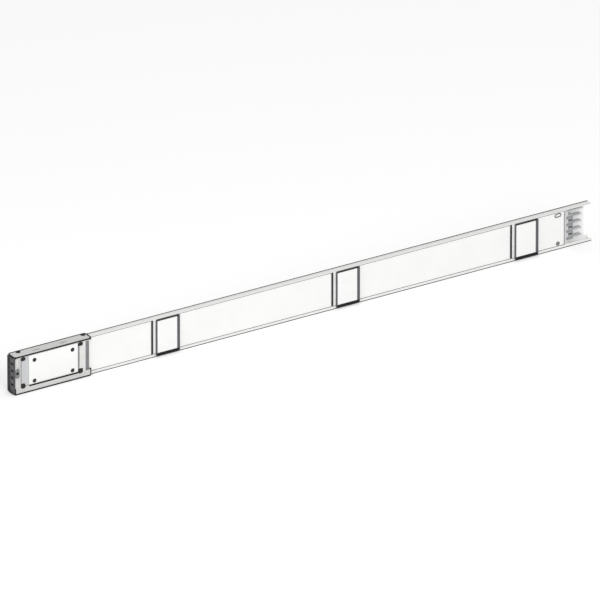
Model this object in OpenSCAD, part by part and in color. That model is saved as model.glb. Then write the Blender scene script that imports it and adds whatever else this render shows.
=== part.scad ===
// Plug-in busway section: a flat sheet-steel casing with four busbars in it, a joint block
// at one end, three tap-off outlets with hinged lids on the front, and bare bar ends at the
// other end. X runs along the length, the outlets face -Y, and +Z is up. The origin is at the
// middle of the footprint, on the floor.

/* [Length] */
// From the middle of the joint block to the flanges' tips at the open end
module_len = 3000; // [2800:50:3400]
// Length of the joint block
block_len = 428; // [420:1:460]
// From the middle of the joint block to the first outlet
outlet_first = 637; // [600:1:700]
// From the last outlet to the flanges' tips at the open end
outlet_last = 367; // [340:1:420]

/* [Casing] */
// Height of the casing and of the joint block
casing_h = 195; // [190:1:215]
// Depth of the casing, front to back
casing_d = 38; // [38:1:46]
// Thickness of the folded sheet
sheet_t = 1.5; // [1.2:0.1:2]
// Height of the lips along the bottom flange
lip_h = 16; // [10:1:18]
// How far the front covers stop short of the flanges' tips
cover_setback = 154; // [140:1:170]
// How far the back cover stops short of the flanges' tips
wall_setback = 24; // [10:1:30]
// Height of the slanted corners of the back cover's end
wall_corner = 30; // [15:1:40]
// Length of the catch slot near the open end
catch_l = 30; // [24:1:36]
// Height of the catch slot
catch_h = 12; // [8:0.5:14]
// From the casing's top down to the middle of the catch slot
catch_drop = 17; // [14:0.5:24]
// From the end of the front cover back to the catch slot and the cover screw
catch_setback = 34; // [26:1:44]
// Height of the cover screw above the floor
cover_screw_z = 30; // [28:1:40]
// Radius of the cover screw's head
cover_screw_r = 8; // [6:0.5:10]

/* [Busbars] */
// Width of a bar, front to back
bar_w = 22; // [18:0.5:24]
// Thickness of a bar
bar_t = 6; // [4:0.5:7]
// Height from one bar to the next
bar_pitch = 36; // [34:0.5:38]
// How far the bars stop short of the flanges' tips
bar_setback = 50; // [45:1:60]
// Gap between a bar and the mouldings that hold it
bar_gap = 0.3; // [0.2:0.1:0.6]
// Length of the comb that holds the bars at the open end
comb_len = 45; // [35:1:50]

/* [Joint block] */
// Depth of the joint block, front to back
block_d = 64; // [64:1:72]
// Thickness of the two rails
rail_t = 4; // [3:0.5:4]
// Height of the bottom rail's lips
bottom_lip_h = 34; // [26:1:38]
// Height of the top rail's lips
top_lip_h = 8; // [7:0.5:12]
// Radius of the rails' corners
rail_corner_r = 14; // [6:1:16]
// How far the rails run on over the casing's end
rail_overrun = 17; // [12:1:24]
// Length of the collar that the next section slides into
end_collar_len = 36; // [34:1:40]
// Length of the collar that grips the casing
casing_collar_len = 32; // [28:1:36]
// Length of the casing gasket
gasket_len = 19; // [14:1:22]
// Wall of the two collars
collar_t = 3; // [2.5:0.1:4]
// Length of the slots in the end collar
collar_slot_l = 40; // [30:1:50]
// Width of the slots in the end collar
collar_slot_w = 9; // [6:0.5:12]
// From the collar screw up or down to the middle of a slot
collar_slot_dz = 52; // [44:1:54]
// Radius of the collar screws
collar_screw_r = 3; // [2.5:0.5:4]
// From the middle of the section's height up to the collar screws
collar_screw_rise = 14.5; // [10:0.5:18]
// Length of the moulding in the end collar
carrier_len = 34; // [30:1:38]
// How far that moulding lies inside the end collar's mouth
carrier_inset = 8; // [4:1:12]
// Length of the casing's covers inside the joint block's mouldings
tongue_hold = 8; // [6:1:16]

/* [Cover panels] */
// How far the cover panels lie behind the rails' faces
panel_inset = 2; // [1:0.5:3]
// Thickness of the cover panels
panel_t = 3; // [2:0.5:4]
// Gap between the end collar and the cover panels
panel_start_gap = 47; // [40:1:50]
// Gap between the cover panels and the casing collar
panel_end_gap = 9; // [4:1:14]
// From the middle of the section's height up to the middle of the panel screws
panel_screw_rise = 8; // [4:0.5:14]
// Distance between the panel screws along the panel
panel_screw_dx = 209; // [180:1:230]
// Distance between the panel screws up the panel
panel_screw_dz = 108; // [90:1:120]
// Radius of the panel screws' heads
panel_screw_r = 8; // [6:0.5:9]
// Length of the corner clips
clip_l = 24; // [16:1:26]
// Height of the corner clips
clip_h = 14; // [10:0.5:14]

/* [Top of the joint block] */
// From the end collar to the first hanger hole
hanger_start = 16; // [14:1:30]
// From the second hanger hole to the far end of the rails
hanger_end = 20; // [16:1:24]
// Radius of the hanger holes
hanger_r = 5.5; // [4.5:0.5:6.5]
// Distance of the hanger holes behind the middle of the block
hanger_y = 20; // [14:1:20]
// Length of the two slots in the top rail
top_slot_l = 40; // [20:1:60]
// Width of the two slots in the top rail
top_slot_w = 8; // [5:0.5:10]
// Distance between the two slots in the top rail, from middle to middle
top_slot_dx = 150; // [100:1:200]

/* [Outlets] */
// From the middle of an outlet to the left edge of its flange plate
plate_left = 79; // [70:1:88]
// Thickness of the flange plate
plate_t = 2; // [1.5:0.1:3]
// Height of the flange plate's rim under the mouldings
plate_rim_low = 6; // [4:0.5:7]
// Height of the flange plate's rim over the mouldings
plate_rim_high = 21; // [12:0.5:24]
// Width of the seal along the flange plate's left edge
seal_w = 10.5; // [5:0.5:12]
// Thickness of that seal
seal_t = 3; // [2:0.1:4]
// Width of the black frame round the lid
frame_w = 131; // [124:1:136]
// Height of the frame's bottom edge above the floor
frame_bottom = 4; // [3:0.5:8]
// Radius of the frame's corners
frame_corner_r = 5; // [3:0.5:6]
// Width of the frame's left member
rim_left = 6; // [5:0.5:8]
// Width of the frame's right member
rim_right = 16; // [10:0.5:18]
// Height of the frame's top member
rim_top = 8; // [6:0.5:10]
// Height of the frame's bottom member
rim_bottom = 17; // [12:0.5:19]
// Gap between the lid and the frame
lid_gap = 0.5; // [0.4:0.1:1]
// Gap between the lid and the flange plate
lid_back_gap = 0.5; // [0.4:0.1:1]
// How far the lid stands out in front of the frame
lid_proud = 1; // [0.5:0.1:1.5]
// Thickness of the lid
lid_t = 7; // [6.5:0.5:9]
// Wall of the lid, which is a shallow tray
lid_wall = 2.5; // [2:0.1:3]
// Height of the solid bar along the lid's bottom edge
lid_bar_h = 9; // [6:0.5:12]
// Radius of the hinge pin
pin_r = 1.5; // [1.2:0.1:1.8]
// Radial clearance of the pin in the lid and in the frame
pin_gap = 0.05; // [0.03:0.01:0.08]
// Width of the outlet's mouldings, which stand between the front covers
moulding_w = 100; // [90:1:108]
// Depth of the contact shield, from the flange plate's face
shield_t = 7.5; // [6:0.5:8]
// Length of a contact slot
contact_w = 60; // [40:1:70]
// Height of a contact slot
contact_h = 15; // [13:0.5:18]
// Distance between the two snap studs
stud_dx = 34; // [24:1:60]
// Radius of the snap studs
stud_r = 4; // [3:0.5:5]

/* [Hidden] */
$fn = 48;

fit = 0.3;
eps = 0.01;

// Places along X: x0 is the joint block's free end, x_end the flanges' tips
x_end = (module_len + block_len / 2) / 2;
x0 = -x_end;
x_joint = x0 + block_len / 2;
x_casing = x0 + block_len + 0.5;
x_gasket = x0 + block_len - rail_overrun - gasket_len;
x_collar = x_gasket - casing_collar_len;
x_tongue = x_collar - tongue_hold;
x_carrier = x0 + carrier_inset;
x_housing = x_carrier + carrier_len;
x_cover_end = x_end - cover_setback;
x_catch = x_cover_end - catch_setback;
x_comb = x_cover_end + 4;
x_bar_end = x_end - bar_setback;
// the forks take the next section's bars as deep as this section's bars are bare
x_bar_start = x0 + bar_setback + 12;
x_fork = x0 + carrier_inset + 4;
x_fork_end = x_bar_start + 22;
x_panel = x0 + end_collar_len + panel_start_gap;
x_panel_end = x_collar - panel_end_gap;

// Depths: the outer and inner faces of the covers, and the faces in the joint block
cover_y = casing_d / 2 - sheet_t;
inner_y = cover_y - sheet_t;
block_y = block_d / 2;
collar_y = block_y - rail_t;
carrier_y = collar_y - collar_t;
core_y = block_y - panel_inset - panel_t;
plate_y = -cover_y - plate_t;
lid_y = plate_y - lid_back_gap - lid_t;
frame_y = lid_y + lid_proud;

// Heights
z_mid = casing_h / 2;
core_z = rail_t + collar_t;
collar_screw_z = z_mid + collar_screw_rise;
panel_screw_z = z_mid + panel_screw_rise;
panel_z1 = bottom_lip_h + 2;
panel_z2 = casing_h - top_lip_h - 1;
moulding_z1 = lip_h + 0.5 + plate_rim_low;
moulding_z2 = casing_h - sheet_t - plate_rim_high;

// The lid's edges, and the hinge axis along its top
lid_x1 = -frame_w / 2 + rim_left + lid_gap;
lid_x2 = frame_w / 2 - rim_right - lid_gap;
lid_z1 = frame_bottom + rim_bottom + lid_gap;
lid_z2 = casing_h - rim_top - lid_gap;
hinge_y = lid_y + lid_t / 2;
hinge_z = lid_z2 - lid_t / 2;

// Small sizes
cover_screw_head = 4;
pocket_w = bar_w + 4;
pocket_h = bar_t + 7;
fork_t = 2;
fork_w = bar_w - 2;
screw_depth = 11;

outlet_pitch = (module_len - outlet_first - outlet_last) / 2;
function outlet_x(k) = x_joint + outlet_first + (k - 1) * outlet_pitch;
function bar_z(k) = z_mid + (2.5 - k) * bar_pitch;

// Box from one corner to the opposite corner
module span(low, high) {
    translate(low) cube(high - low);
}

// Lays a profile drawn in depth and height along X
module along_x(from, to) {
    translate([from, 0, 0]) rotate([90, 0, 90]) linear_extrude(to - from) children();
}

// Rectangle with round corners, from one corner to the opposite corner
module rounded(low, high, r) {
    translate(low + [r, 0]) square(high - low - [2 * r, 0]);
    translate(low + [0, r]) square(high - low - [0, 2 * r]);
    for (x = [low.x + r, high.x - r], y = [low.y + r, high.y - r]) translate([x, y]) circle(r);
}

// Slot outline with round ends, its length along X
module obround(length, width) {
    square([length - width, width], center = true);
    for (side = [-1, 1]) translate([side * (length - width) / 2, 0]) circle(width / 2);
}

// ---- Casing ----

module top_flange() color("whitesmoke")
    span([x_casing, -casing_d / 2, casing_h - sheet_t], [x_end, casing_d / 2, casing_h]);

module bottom_flange() color("whitesmoke")
    span([x_casing, -casing_d / 2, 0], [x_end, casing_d / 2, sheet_t]);

// Upright strip on the front edge, side = -1, or back edge, side = 1, of the bottom flange
module lip(side) color("whitesmoke") translate([0, side < 0 ? -casing_d / 2 : cover_y, 0])
    span([x_casing, 0, sheet_t], [x_end, sheet_t, lip_h]);

// Flat sheet between the flanges, with a tongue that runs into the joint block
module back_cover() color("white") {
    translate([0, cover_y, 0]) rotate([90, 0, 0]) linear_extrude(sheet_t) polygon([
        [x_casing, sheet_t], [x_end - 1, sheet_t],
        [x_end - wall_setback, sheet_t + wall_corner],
        [x_end - wall_setback, casing_h - sheet_t - wall_corner],
        [x_end - 1, casing_h - sheet_t], [x_casing, casing_h - sheet_t],
        [x_casing, casing_h - core_z], [x_tongue, casing_h - core_z],
        [x_tongue, core_z], [x_casing, core_z]
    ]);
}

// Flat sheets between the flanges and between the outlets' mouldings
module front_cover(k) color("white") difference() {
    from = k == 1 ? x_tongue : outlet_x(k - 1) + moulding_w / 2 + fit;
    to = k == 4 ? x_cover_end : outlet_x(k) - moulding_w / 2 - fit;
    span([from, -cover_y, sheet_t], [to, -inner_y, casing_h - sheet_t]);
    if (k == 1) for (z = [0, casing_h - core_z])
        span([x_tongue - 1, -cover_y - 1, z], [x_casing, 0, z + core_z]);
    if (k == 4) {
        translate([x_catch, -inner_y + 1, casing_h - catch_drop]) rotate([90, 0, 0])
            linear_extrude(sheet_t + 2) obround(catch_l, catch_h);
        translate([x_catch, -inner_y + 1, cover_screw_z]) rotate([90, 0, 0])
            cylinder(h = sheet_t + 2, r = cover_screw_r / 2 + fit);
    }
}

module cover_screw() color("dimgray")
    translate([x_catch, -cover_y, cover_screw_z]) rotate([90, 0, 0]) {
        cylinder(h = cover_screw_head, r = cover_screw_r);
        translate([0, 0, -sheet_t - 6]) cylinder(h = sheet_t + 6 + eps, r = cover_screw_r / 2);
    }

// ---- Busbars ----

module busbar(k) color("silver")
    span([x_bar_start, -bar_w / 2, bar_z(k) - bar_t / 2],
         [x_bar_end, bar_w / 2, bar_z(k) + bar_t / 2]);

// The four bars as cutters, with a gap all round
module bar_slots(from, to) {
    for (k = [1:4])
        span([from, -bar_w / 2 - bar_gap, bar_z(k) - bar_t / 2 - bar_gap],
             [to, bar_w / 2 + bar_gap, bar_z(k) + bar_t / 2 + bar_gap]);
}

// Comb between the flanges, with a sleeve round each bar and a slanted top corner
module end_comb() color("gainsboro") difference() {
    union() {
        along_x(x_comb, x_comb + comb_len * 0.45) polygon([
            [-cover_y, sheet_t + 10], [-cover_y + 6, sheet_t],
            [inner_y, sheet_t], [inner_y, casing_h - sheet_t],
            [-cover_y + 14, casing_h - sheet_t], [-cover_y, casing_h - sheet_t - 14]
        ]);
        for (k = [1:4])
            span([x_comb + 1, -cover_y + 1, bar_z(k) - bar_pitch / 2 + 7],
                 [x_comb + comb_len, inner_y, bar_z(k) + bar_pitch / 2 - 7]);
    }
    bar_slots(x_comb - 1, x_comb + comb_len + 1);
}

// ---- Joint block ----

// Footprint of a rail, with round corners
module rail_footprint(inset) {
    rounded([x0 + inset, inset - block_y], [x0 + block_len - inset, block_y - inset],
            rail_corner_r - inset);
}

// Tray with lips along the front and back, and open ends for the casings
module rail(lip) difference() {
    linear_extrude(lip) rail_footprint(0);
    translate([0, 0, rail_t]) linear_extrude(lip) rail_footprint(rail_t);
    translate([x0 - 1, -collar_y, rail_t]) cube([block_len + 2, 2 * collar_y, lip]);
}

module bottom_rail() color("lightgray") rail(bottom_lip_h);

module top_rail() color("lightgray") difference() {
    translate([0, 0, casing_h]) mirror([0, 0, 1]) rail(top_lip_h);
    hanger_places(casing_h - rail_t - 1) cylinder(h = rail_t + 2, r = hanger_r);
    for (side = [-1, 1])
        translate([x_joint + side * top_slot_dx / 2, 0, casing_h - rail_t - 1])
            linear_extrude(rail_t + 2) obround(top_slot_l, top_slot_w);
}

// The two hanger holes' places, at a height
module hanger_places(z) {
    for (x = [x0 + end_collar_len + hanger_start, x0 + block_len - hanger_end])
        translate([x, hanger_y, z]) children();
}

module hanger_grommets() color("black") hanger_places(casing_h) difference() {
    cylinder(h = 2.5, r = hanger_r + 6);
    translate([0, 0, -1]) cylinder(h = 5, r = hanger_r + 0.5);
}

// Block between the rails: its outer pads fill the space between their lips
module collar(from, to) {
    span([from, -collar_y, rail_t], [to, collar_y, casing_h - rail_t]);
    span([from, -block_y, bottom_lip_h], [to, block_y, casing_h - top_lip_h]);
}

module end_collar() color("white") difference() {
    collar(x0 + 1, x0 + end_collar_len);
    span([x0, -carrier_y, core_z], [x0 + end_collar_len + 1, carrier_y, casing_h - core_z]);
    collar_screw_places() {
        translate([0, 0, -1]) cylinder(h = rail_t + collar_t + 2, r = collar_screw_r + fit);
        for (dz = [-collar_slot_dz, collar_slot_dz]) translate([0, dz, -1]) rotate(90)
            linear_extrude(3) obround(collar_slot_l, collar_slot_w);
    }
}

// The two collar screws' places: Z points inwards from the face, and Y is up or down
module collar_screw_places() {
    for (side = [-1, 1])
        translate([x0 + end_collar_len / 2, side * block_y, collar_screw_z])
            rotate([90 * side, 0, 0]) children();
}

module collar_screws() color("dimgray") collar_screw_places() {
    translate([0, 0, -eps]) cylinder(h = rail_t, r = collar_screw_r);
    translate([0, 0, -1.2]) cylinder(h = 1.2, r = collar_screw_r + 2);
}

module casing_collar() color("white") difference() {
    collar(x_collar, x_gasket);
    span([x_collar - 1, -cover_y, core_z], [x_gasket + 1, cover_y, casing_h - core_z]);
    for (side = [-1, 1]) clip_places(side)
        translate([-clip_l, -clip_h / 2 - 3, 0]) cube([1.5 * clip_l + 1, clip_h + 6, block_d]);
}

module casing_gasket() color("black") difference() {
    span([x_gasket, -collar_y + 1, rail_t],
         [x_gasket + gasket_len, collar_y - 1, casing_h - rail_t]);
    span([x_gasket - 1, -cover_y, core_z],
         [x_gasket + gasket_len + 1, cover_y, casing_h - core_z]);
    hanger_places(casing_h - core_z - 1) cylinder(h = collar_t + 2, r = hanger_r + 2);
}

// Pockets round the bars' ends for the contact forks
module fork_pockets(from, to) {
    for (k = [1:4])
        span([from, -pocket_w / 2, bar_z(k) - pocket_h / 2],
             [to, pocket_w / 2, bar_z(k) + pocket_h / 2]);
}

module contact_carrier() color("black") difference() {
    span([x_carrier, -carrier_y, core_z], [x_housing, carrier_y, casing_h - core_z]);
    fork_pockets(x_carrier - 1, x_housing + 1);
}

module joint_housing() color("gray") difference() {
    union() {
        span([x_housing, -core_y, core_z], [x_collar, core_y, casing_h - core_z]);
        span([x_collar - eps, -inner_y, core_z], [x_gasket, inner_y, casing_h - core_z]);
    }
    for (side = [-1, 1])
        span([x_tongue - fit, side * (cover_y + inner_y) / 2 - sheet_t / 2, core_z - 1],
             [x_collar + 1, side * (cover_y + inner_y) / 2 + sheet_t / 2, casing_h - core_z + 1]);
    fork_pockets(x_housing - 1, x_fork_end + fit);
    bar_slots(x_housing, x_gasket + 1);
    for (side = [-1, 1]) panel_screw_places(side)
        cylinder(h = screw_depth + 1, r = panel_screw_r / 2 + fit);
}

// Sprung fork: two copper strips on the bar, joined by a web where the bar ends
module contact_fork(k) color("peru") {
    for (z = [bar_t / 2, -bar_t / 2 - fork_t])
        span([x_fork, -fork_w / 2, bar_z(k) + z], [x_fork_end, fork_w / 2, bar_z(k) + z + fork_t]);
    span([x_bar_start - 6, -fork_w / 2, bar_z(k) - bar_t / 2 - eps],
         [x_bar_start, fork_w / 2, bar_z(k) + bar_t / 2 + eps]);
}

// The four screws of one side: Z points inwards from the panel's face
module panel_screw_places(side) {
    for (dx = [-1, 1], dz = [-1, 1])
        translate([(x_panel + x_panel_end) / 2 + dx * panel_screw_dx / 2,
                   side * (block_y - panel_inset), panel_screw_z + dz * panel_screw_dz / 2])
            rotate([90 * side, 0, 0]) children();
}

// Places of one side's corner clips: Z points outwards from the housing's face
module clip_places(side) {
    for (x = [x0 + end_collar_len, x_panel_end], z = [panel_z1, panel_z2 - clip_h])
        translate([x + 1 + clip_l / 2, side * core_y, z + clip_h / 2])
            rotate([-90 * side, 0, 0]) children();
}

module corner_clips(side) color("black") clip_places(side)
    linear_extrude(block_y - core_y - 0.5) obround(clip_l, clip_h);

// side is -1 for the front and 1 for the back
module panel(side) difference() {
    mirror([0, side < 0 ? 0 : 1, 0])
        span([x_panel, -block_y + panel_inset, panel_z1], [x_panel_end, -core_y, panel_z2]);
    panel_screw_places(side) translate([0, 0, -1])
        cylinder(h = panel_t + 2, r = panel_screw_r / 2 + fit);
}

module panel_screws(side) panel_screw_places(side) difference() {
    union() {
        translate([0, 0, -panel_inset + 0.4]) cylinder(h = panel_inset - 0.4, r = panel_screw_r);
        translate([0, 0, -eps]) cylinder(h = screw_depth, r = panel_screw_r / 2);
    }
    translate([-panel_screw_r, -0.6, -panel_inset]) cube([2 * panel_screw_r, 1.2, 1.2]);
}

// ---- Outlets ----

module outlet_plate(k) color("gainsboro") translate([outlet_x(k), 0, 0]) difference() {
    span([-plate_left, plate_y, lip_h + 0.5], [frame_w / 2, -cover_y, casing_h - sheet_t]);
    span([-moulding_w / 2 - fit, plate_y - 1, moulding_z1 - fit],
         [moulding_w / 2 + fit, 0, moulding_z2 + fit]);
}

// Rubber strip that closes the joint between the plate's left edge and the cover
module outlet_seal(k) color("black") translate([outlet_x(k) - plate_left, 0, 0])
    span([-seal_w, -cover_y - seal_t, lip_h + 0.5], [0, -cover_y, casing_h - sheet_t]);

// Flat shield in front of the bars, with a slot for each contact
module outlet_shield(k) color("dimgray") translate([outlet_x(k), 0, 0]) difference() {
    span([-moulding_w / 2, plate_y, moulding_z1],
         [moulding_w / 2, plate_y + shield_t, moulding_z2]);
    for (n = [1:4])
        span([-contact_w / 2, plate_y - 1, bar_z(n) - contact_h / 2],
             [contact_w / 2, 0, bar_z(n) + contact_h / 2]);
}

// Comb that carries the bars: teeth between them, and a spine on the back cover
module outlet_support(k) color("dimgray")
    along_x(outlet_x(k) - moulding_w / 2, outlet_x(k) + moulding_w / 2) difference() {
        translate([plate_y + shield_t, moulding_z1])
            square([inner_y - plate_y - shield_t, moulding_z2 - moulding_z1]);
        for (n = [1:4]) {
            translate([plate_y + shield_t - 1, bar_z(n) - contact_h / 2])
                square([bar_w / 2 - 7 - plate_y - shield_t + 1, contact_h]);
            translate([-bar_w / 2, bar_z(n) - bar_t / 2 - bar_gap])
                square([bar_w + bar_gap, bar_t + 2 * bar_gap]);
        }
    }

// Frame round the lid, over the plate and the front lip
module outlet_frame(k) color("black") translate([outlet_x(k), 0, 0]) difference() {
    translate([0, plate_y, 0]) rotate([90, 0, 0]) linear_extrude(plate_y - frame_y) difference() {
        rounded([-frame_w / 2, frame_bottom], [frame_w / 2, casing_h], frame_corner_r);
        translate([lid_x1 - lid_gap, lid_z1 - lid_gap])
            square([lid_x2 - lid_x1 + 2 * lid_gap, lid_z2 - lid_z1 + 2 * lid_gap]);
    }
    hinge_axis() cylinder(h = frame_w + 2, r = pin_r + pin_gap, center = true);
    stud_places() translate([0, 0, -1]) cylinder(h = lid_t + 2, r = stud_r + 0.1);
}

// The hinge line, with Z along it
module hinge_axis() {
    translate([0, hinge_y, hinge_z]) rotate([0, 90, 0]) children();
}

// Shallow tray with a round top edge that turns about the pin
module outlet_lid(k) color("white") translate([outlet_x(k), 0, 0]) difference() {
    union() {
        span([lid_x1, lid_y, lid_z1], [lid_x2, lid_y + lid_t, hinge_z]);
        translate([(lid_x1 + lid_x2) / 2, 0, 0]) hinge_axis()
            cylinder(h = lid_x2 - lid_x1, r = lid_t / 2, center = true);
    }
    span([lid_x1 + lid_wall, lid_y + lid_wall, lid_z1 + lid_bar_h],
         [lid_x2 - lid_wall, lid_y + lid_t + 1, hinge_z - lid_t / 2 - 1]);
    hinge_axis() cylinder(h = frame_w, r = pin_r + pin_gap, center = true);
}

// The two snap studs' places in the frame's bottom member: Z points back from its face
module stud_places() {
    for (side = [-1, 1])
        translate([side * stud_dx / 2, frame_y, frame_bottom + rim_bottom / 2]) rotate([-90, 0, 0])
            children();
}

module outlet_studs(k) color("black") translate([outlet_x(k), 0, 0])
    stud_places() translate([0, 0, -1.2]) cylinder(h = plate_y - frame_y + 1.2, r = stud_r);

module outlet_pin(k) color("silver") translate([outlet_x(k), 0, 0])
    hinge_axis() cylinder(h = frame_w, r = pin_r, center = true);

top_flange();
bottom_flange();
lip(-1);  // front_lip
lip(1);  // back_lip
back_cover();
cover_screw();
end_comb();
top_rail();
bottom_rail();
end_collar();
casing_collar();
casing_gasket();
contact_carrier();
joint_housing();
color("white") panel(-1);  // front_panel
color("white") panel(1);  // back_panel
color("dimgray") panel_screws(-1);  // front_panel_screws
color("dimgray") panel_screws(1);  // back_panel_screws
corner_clips(-1);  // front_clips
corner_clips(1);  // back_clips
collar_screws();
hanger_grommets();
for (k = [1:4]) {
    front_cover(k);
    busbar(k);
    contact_fork(k);
}
for (k = [1:3]) {
    outlet_plate(k);
    outlet_seal(k);
    outlet_shield(k);
    outlet_support(k);
    outlet_frame(k);
    outlet_lid(k);
    outlet_studs(k);
    outlet_pin(k);
}
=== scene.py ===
"""Looks of a plug-in busway section: a flat painted steel casing with four bars in it, a joint
block at one end, three tap-off outlets with hinged lids, and bare bar ends at the other end.
The section lies along X on the floor, and its outlets face -Y."""

import math

import bmesh
import bpy
import numpy as np
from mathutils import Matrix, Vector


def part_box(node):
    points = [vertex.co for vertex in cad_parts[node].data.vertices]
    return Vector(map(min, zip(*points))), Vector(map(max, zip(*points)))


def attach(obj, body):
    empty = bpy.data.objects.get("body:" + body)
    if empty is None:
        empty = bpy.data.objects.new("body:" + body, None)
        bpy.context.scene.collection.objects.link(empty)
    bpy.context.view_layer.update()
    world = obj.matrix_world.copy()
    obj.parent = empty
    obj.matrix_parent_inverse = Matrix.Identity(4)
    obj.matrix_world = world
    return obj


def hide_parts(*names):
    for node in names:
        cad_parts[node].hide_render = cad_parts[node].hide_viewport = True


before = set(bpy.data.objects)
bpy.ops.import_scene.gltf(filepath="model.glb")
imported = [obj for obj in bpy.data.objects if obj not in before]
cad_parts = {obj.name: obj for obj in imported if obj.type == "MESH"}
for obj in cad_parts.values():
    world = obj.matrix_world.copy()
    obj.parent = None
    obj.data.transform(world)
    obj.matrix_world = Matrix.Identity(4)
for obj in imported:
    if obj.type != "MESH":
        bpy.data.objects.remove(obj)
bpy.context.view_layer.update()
MM = 0.001


# ---- Camera ----
# A long lens from the left, in front and above, so that lines along the section stay parallel.
# It looks at a point a little above the floor, halfway along.
view_turn = math.radians(31.7)
view_rise = math.radians(25.6)
view_width = 2.836
view_aim = np.array([-0.008, 0.004, 0.083])
lens, film = 1500.0, 36.0  # millimetres
towards_camera = np.array([
    -math.sin(view_turn) * math.cos(view_rise),
    -math.cos(view_turn) * math.cos(view_rise),
    math.sin(view_rise)])
camera = bpy.data.objects.new("camera", bpy.data.cameras.new("camera"))
camera.data.lens = lens
camera.data.sensor_width = film
camera.data.clip_start = 10
camera.data.clip_end = 1000
camera.location = view_aim + towards_camera * view_width * lens / film
camera.rotation_euler = (math.pi / 2 - view_rise, 0, -view_turn)
bpy.context.scene.collection.objects.link(camera)
bpy.context.scene.camera = camera
bpy.context.scene.view_settings.view_transform = "Standard"


# ---- Studio: floor, white surroundings and lamps ----
# A matt white floor that keeps the section's soft shadow. The camera, and what glossy metal
# mirrors, see the floor and the surroundings as white.
def linear(hex_colour):
    """An sRGB hex colour as linear red, green, blue and alpha."""
    levels = [int(hex_colour[i:i + 2], 16) / 255 for i in (1, 3, 5)]
    curve = [c / 12.92 if c <= 0.04045 else ((c + 0.055) / 1.055) ** 2.4 for c in levels]
    return (*curve, 1.0)


def add_node(tree, kind, links=None, **settings):
    """Adds a node. A setting is an attribute's name or an input's, with underscores for spaces,
    or a number for an input's place; links gives input: output socket."""
    node = tree.nodes.new(kind)
    for name, value in settings.items():
        if hasattr(node, name):
            setattr(node, name, value)
        else:
            node.inputs[name.replace("_", " ")].default_value = value
    for name, socket in (links or {}).items():
        tree.links.new(socket, node.inputs[name])
    return node


def new_material(name):
    """An empty node material with its output, and the material itself."""
    material = bpy.data.materials.new(name)
    material.use_nodes = True
    material.node_tree.nodes.clear()
    return material, material.node_tree


def seen_directly(tree):
    """1 for a ray from the camera, or off gloss or through glass, and 0 for light on surfaces."""
    rays = add_node(tree, "ShaderNodeLightPath").outputs
    either = add_node(tree, "ShaderNodeMath", {0: rays["Is Camera Ray"], 1: rays["Is Glossy Ray"]},
                      operation="MAXIMUM")
    return add_node(tree, "ShaderNodeMath",
                    {0: either.outputs[0], 1: rays["Is Transmission Ray"]},
                    operation="MAXIMUM").outputs[0]


world = bpy.data.worlds.new("studio")
bpy.context.scene.world = world
world.use_nodes = True
sky_tree = world.node_tree
sky_tree.nodes.clear()
sky_strength = 0.70
sky_light = add_node(sky_tree, "ShaderNodeBackground", Color=linear("#ffffff"),
                     Strength=sky_strength)
sky_white = add_node(sky_tree, "ShaderNodeBackground", Color=linear("#ffffff"), Strength=1.0)
sky = add_node(sky_tree, "ShaderNodeMixShader",
               {0: seen_directly(sky_tree), 1: sky_light.outputs[0], 2: sky_white.outputs[0]})
add_node(sky_tree, "ShaderNodeOutputWorld", {"Surface": sky.outputs[0]})

floor_half = 40.0
floor_mesh = bpy.data.meshes.new("floor")
floor_mesh.from_pydata([(-floor_half, -floor_half, 0), (floor_half, -floor_half, 0),
                        (floor_half, floor_half, 0), (-floor_half, floor_half, 0)],
                       [], [(0, 1, 2, 3)])
floor = bpy.data.objects.new("floor", floor_mesh)
bpy.context.scene.collection.objects.link(floor)
floor_paint, tree = new_material("matt white floor paint")
matt = add_node(tree, "ShaderNodeBsdfDiffuse", Color=linear("#f4f4f4"))
floor_glow = 0.24
glow = add_node(tree, "ShaderNodeEmission", Color=linear("#ffffff"), Strength=floor_glow)
lifted = add_node(tree, "ShaderNodeAddShader", {0: matt.outputs[0], 1: glow.outputs[0]})
floor_skin = add_node(tree, "ShaderNodeMixShader",
                      {0: seen_directly(tree), 1: matt.outputs[0], 2: lifted.outputs[0]})
add_node(tree, "ShaderNodeOutputMaterial", {"Surface": floor_skin.outputs[0]})
floor_mesh.materials.append(floor_paint)

# A broad lamp over the front and a weaker one at the left end: position, size and power
lamp_target = np.array([0, 0, 0.1])
for name, place, width, power in (
        ("front lamp", (-1.0, -9.0, 5.5), 6.0, 350.0),
        ("end lamp", (-7.0, -1.5, 2.5), 3.0, 40.0)):
    lamp = bpy.data.objects.new(name, bpy.data.lights.new(name, "AREA"))
    lamp.data.size = width
    lamp.data.energy = power
    lamp.location = place
    aim = lamp_target - place
    lamp.rotation_euler = (math.atan2(math.hypot(aim[0], aim[1]), -aim[2]), 0,
                           math.atan2(aim[1], aim[0]) - math.pi / 2)
    bpy.context.scene.collection.objects.link(lamp)


# ---- Bottom channel ----
# The casing's floor with a short lip along its front and its back. One strip of galvanised
# sheet, roll-formed with small bend radii and powder-coated off-white, a shade greyer than the
# covers: painted shade that darkens the lip.
def arc(centre, radius, start, end, steps=6):
    """Points at equal angles on a circle: the centre plus the radius times cosine and sine."""
    turn = np.radians(np.linspace(start, end, steps))
    return np.stack([centre[0] + radius * np.cos(turn), centre[1] + radius * np.sin(turn)], 1)


def skin(grid, ring=False):
    """Points, four-sided faces and end faces of a closed skin over a grid. A row is a closed
    loop that joins the next row, and the last row joins the first where the piece is a ring."""
    index = np.arange(grid.shape[0] * grid.shape[1]).reshape(grid.shape[:2])
    row, following = (index, np.roll(index, -1, 0)) if ring else (index[:-1], index[1:])
    faces = np.stack([row, np.roll(row, -1, 1), np.roll(following, -1, 1), following], -1)
    return grid.reshape(-1, 3), faces.reshape(-1, 4), [] if ring else [index[0], index[-1]]


crease = math.radians(35)


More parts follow.
